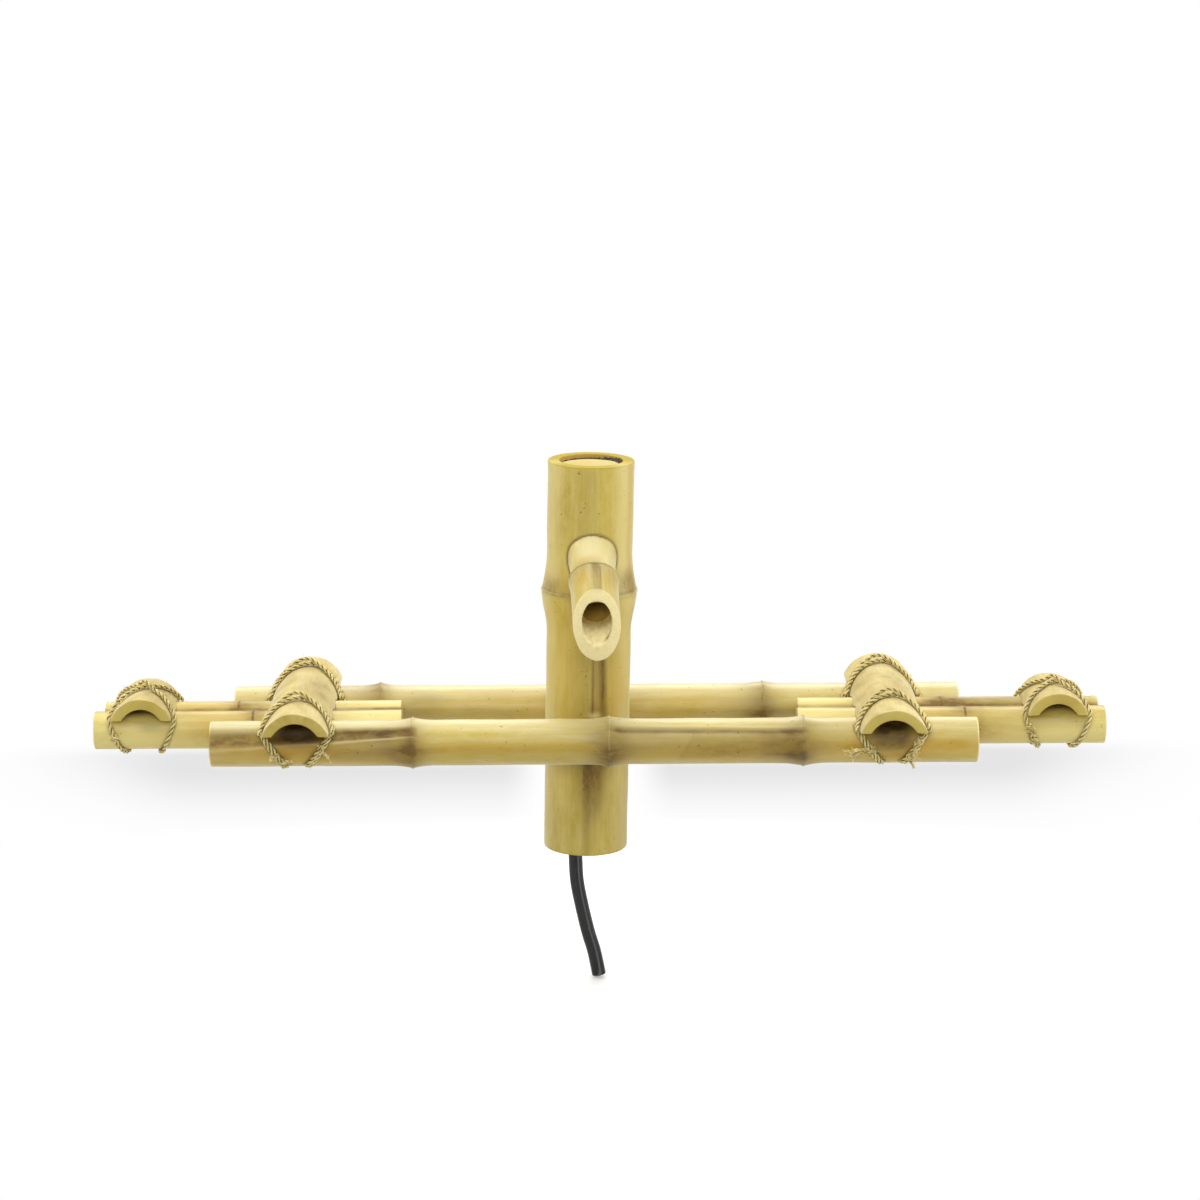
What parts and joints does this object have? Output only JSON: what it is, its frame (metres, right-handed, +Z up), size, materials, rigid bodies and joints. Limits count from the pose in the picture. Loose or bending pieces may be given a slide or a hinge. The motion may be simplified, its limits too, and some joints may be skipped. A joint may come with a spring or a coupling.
{
  "type": "bamboo container fountain",
  "caption": "Bamboo spout fountain: an upright post with a slanted spout, held across a basin by lashed poles with sliding rim arms and a hose tail below.",
  "frame": {"origin": "on the post's axis at the level of the undersides of the two main poles, where they lie across the rim of the container that holds the fountain up; the post and its hose hang below it", "axes": "+Z up, +X along the poles, the spout points to -Y"},
  "size_m": [0.9035, 0.2154, 0.4809],
  "materials": {
    "post_bamboo": "satin bamboo rind",
    "pole_bamboo": "satin bamboo rind",
    "arm_bamboo": "satin bamboo rind",
    "saddle_bamboo": "scraped, matt",
    "cut_bamboo": "sawn, matt",
    "rope": "twisted straw cord",
    "hose": "gloss black vinyl"
  },
  "bodies": {
    "frame": {"post_culm": "post_bamboo", "post_top_plug": "cut_bamboo", "post_foot_plug": "cut_bamboo", "spout_culm": "pole_bamboo", "supply_hose": "hose", "hose_tail": "hose", "front_main_pole": "pole_bamboo", "rear_main_pole": "pole_bamboo", "front_post_peg": "cut_bamboo", "rear_post_peg": "cut_bamboo", "left_inner_saddle": "saddle_bamboo", "right_inner_saddle": "saddle_bamboo", "left_front_lashing": "rope", "left_rear_lashing": "rope", "right_front_lashing": "rope", "right_rear_lashing": "rope", "left_guide_slat": "cut_bamboo", "right_guide_slat": "cut_bamboo"},
    "left_arm": {"left_front_arm_pole": "arm_bamboo", "left_rear_arm_pole": "arm_bamboo", "left_arm_dowel": "cut_bamboo", "left_outer_saddle": "saddle_bamboo", "left_outer_lashing": "rope"},
    "right_arm": {"right_front_arm_pole": "arm_bamboo", "right_rear_arm_pole": "arm_bamboo", "right_arm_dowel": "cut_bamboo", "right_outer_saddle": "saddle_bamboo", "right_outer_lashing": "rope"}
  },
  "joints": [
    {"name": "left_arm_slide", "type": "slide", "parent": "frame", "child": "left_arm", "axis": [-1, 0, 0], "range_m": [-0.028, 0.04]},
    {"name": "right_arm_slide", "type": "slide", "parent": "frame", "child": "right_arm", "axis": [1, 0, 0], "range_m": [-0.037, 0.03]}
  ]
}
